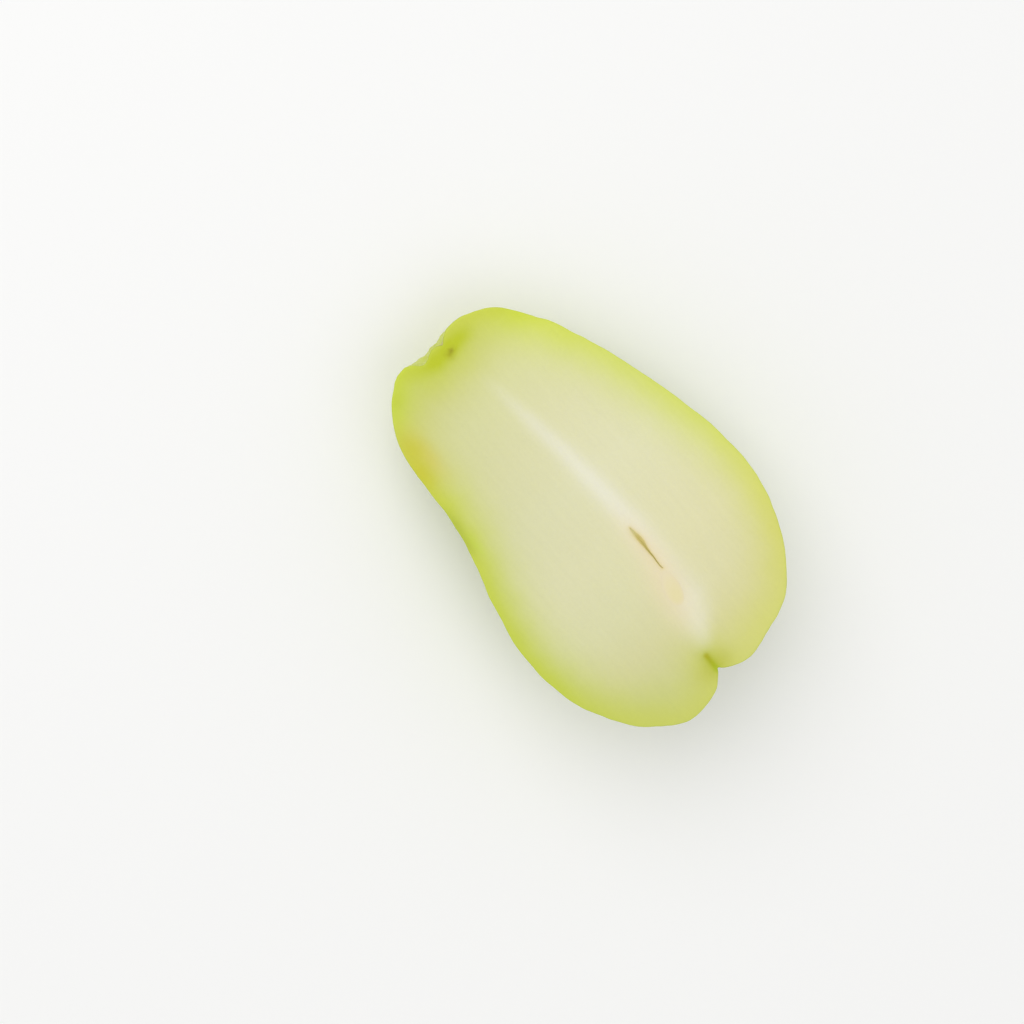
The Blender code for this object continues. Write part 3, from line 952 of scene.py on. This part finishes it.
def tan_cavity_lining():
    """The skin that lines the seed cavity: dry and tan at its torn lips, and brown deep down, darker
    there partly as painted shade.
    """
    material, tree = new_material("tan_cavity_lining")
    place = add_node(tree, "Attribute", output="Vector", attribute_name="fruit_mm")
    along = add_node(tree, "SeparateXYZ", (place,))
    height = add_node(tree, "SeparateXYZ", (place,), "Z")
    deep = add_node(tree, "MapRange", (height, 0, DARK_BY, 0, 1))
    from_tip = add_node(tree, "MapRange", (along, *SLIT_TIP, 0, 1))
    to_seed = add_node(tree, "MapRange", (along, *SLIT_TEAR, 0, 1))
    lip = layered(tree, "#DECF8C", "#C0B95C", to_seed)
    lip = layered(tree, lip, "#CDB968", noise_of(tree, place, LINING_GRAIN))
    # painted shade in part: darker down in the slit and in its narrow crack
    bottom = layered(tree, "#C9BA68", "#948C3E", to_seed)
    colour = layered(tree, "#DAD49C", layered(tree, lip, bottom, deep), from_tip)
    surface(tree, {"Base Color": colour, "Roughness": 0.5})
    return material


def soft_cream_seed():
    """The young seed, cut through: smooth and moist, cream, a little pink at its coat."""
    material, tree = new_material("soft_cream_seed")
    place = add_node(tree, "Attribute", output="Vector", attribute_name="fruit_mm")
    along = add_node(tree, "SeparateXYZ", (place,))
    to_tip = add_node(tree, "MapRange", (along, *SEED_TIP, 0, 1))
    coat = add_node(tree, "Math", ("from_middle", 4), operation="POWER")
    colour = layered(tree, "#E8DCB2", "#E6DBA0", to_tip)
    colour = layered(tree, colour, "#E7DAB6", coat, 0.85)
    colour = layered(tree, colour, "#EFE8CC", noise_of(tree, place, SEED_GRAIN), 0.2)
    surface(tree, {"Base Color": colour, "Roughness": 0.38, "IOR": 1.4})
    return material


def matt_white_board():
    """A white table top, painted matt."""
    material, tree = new_material("matt_white_board")
    surface(tree, {"Base Color": "#FBFBFA", "Roughness": 0.8})
    return material


# ---------------------------------------------------------------------------------------
# The pieces
# ---------------------------------------------------------------------------------------
fruit = make_fruit()
for make in (waxy_green_skin, fresh_cut_flesh, tan_cavity_lining):
    fruit.data.materials.append(make())
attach(fruit, "root")
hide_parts("chayote_half")

seed = make_seed()
seed.data.materials.append(soft_cream_seed())
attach(seed, "root")
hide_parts("seed_half")

# ---------------------------------------------------------------------------------------
# Floor, light and camera
# ---------------------------------------------------------------------------------------
FLOOR_SIZE = 6.0  # metres

deselect_all()
bpy.ops.mesh.primitive_plane_add(size=FLOOR_SIZE, location=(0, 0, 0))
floor = bpy.context.object
floor.name = "floor"
floor.data.materials.append(matt_white_board())

ROOM_LIGHT = 0.68

world = bpy.context.scene.world or bpy.data.worlds.new("studio")
bpy.context.scene.world = world
world.use_nodes = True
room = world.node_tree.nodes["Background"]
room.inputs["Color"].default_value = (1.0, 1.0, 1.0, 1)
room.inputs["Strength"].default_value = ROOM_LIGHT


def add_softbox(name, place, target, size, power):
    deselect_all()
    bpy.ops.object.light_add(type="AREA", location=place)
    light = bpy.context.object
    light.name = name
    light.data.shape = "DISK"
    light.data.size = size
    light.data.energy = power
    aim = Vector(target) - Vector(place)
    light.rotation_euler = aim.to_track_quat("-Z", "Y").to_euler()


VIEW_MIDDLE = (45.2, -15.5, 0.0)  # where the lens points on the cut face
VIEW_RIGHT = Vector((0.649, 0.761, 0)).normalized()  # across and up the view, on the cut face
VIEW_UP = Vector((-0.761, 0.649, 0)).normalized()
VIEW_LEAN = math.radians(3)  # the camera stands a little to the narrow side
VIEW_WIDTH = 284.4  # mm of the cut face's plane across the frame
LENS, SENSOR = 85.0, 36.0

turn = FRUIT.to_3x3()
lean = Matrix.Rotation(VIEW_LEAN, 3, "X")
right, up = turn @ lean @ VIEW_RIGHT, turn @ lean @ VIEW_UP
back = right.cross(up)
target = FRUIT @ (Vector(VIEW_MIDDLE) * MM)
distance = VIEW_WIDTH * MM * LENS / SENSOR
camera_data = bpy.data.cameras.new("camera")
camera_data.lens = LENS
camera_data.sensor_width = SENSOR
camera = bpy.data.objects.new("camera", camera_data)
bpy.context.scene.collection.objects.link(camera)
basis = Matrix((right, up, back)).transposed()
camera.matrix_world = Matrix.LocRotScale(target + back * distance, basis, None)
bpy.context.scene.camera = camera

# Two large soft lights about 1.5 m away: the brighter one from the stem side
key_place = target + up * 0.75 - right * 0.5 + Vector((0, 0, 1.3))
fill_place = target - up * 0.6 + right * 0.5 + Vector((0, 0, 1.2))
add_softbox("key", key_place, target, size=1.4, power=7.0)
add_softbox("fill", fill_place, target, size=1.5, power=2.7)

bpy.context.scene.view_settings.view_transform = "Standard"
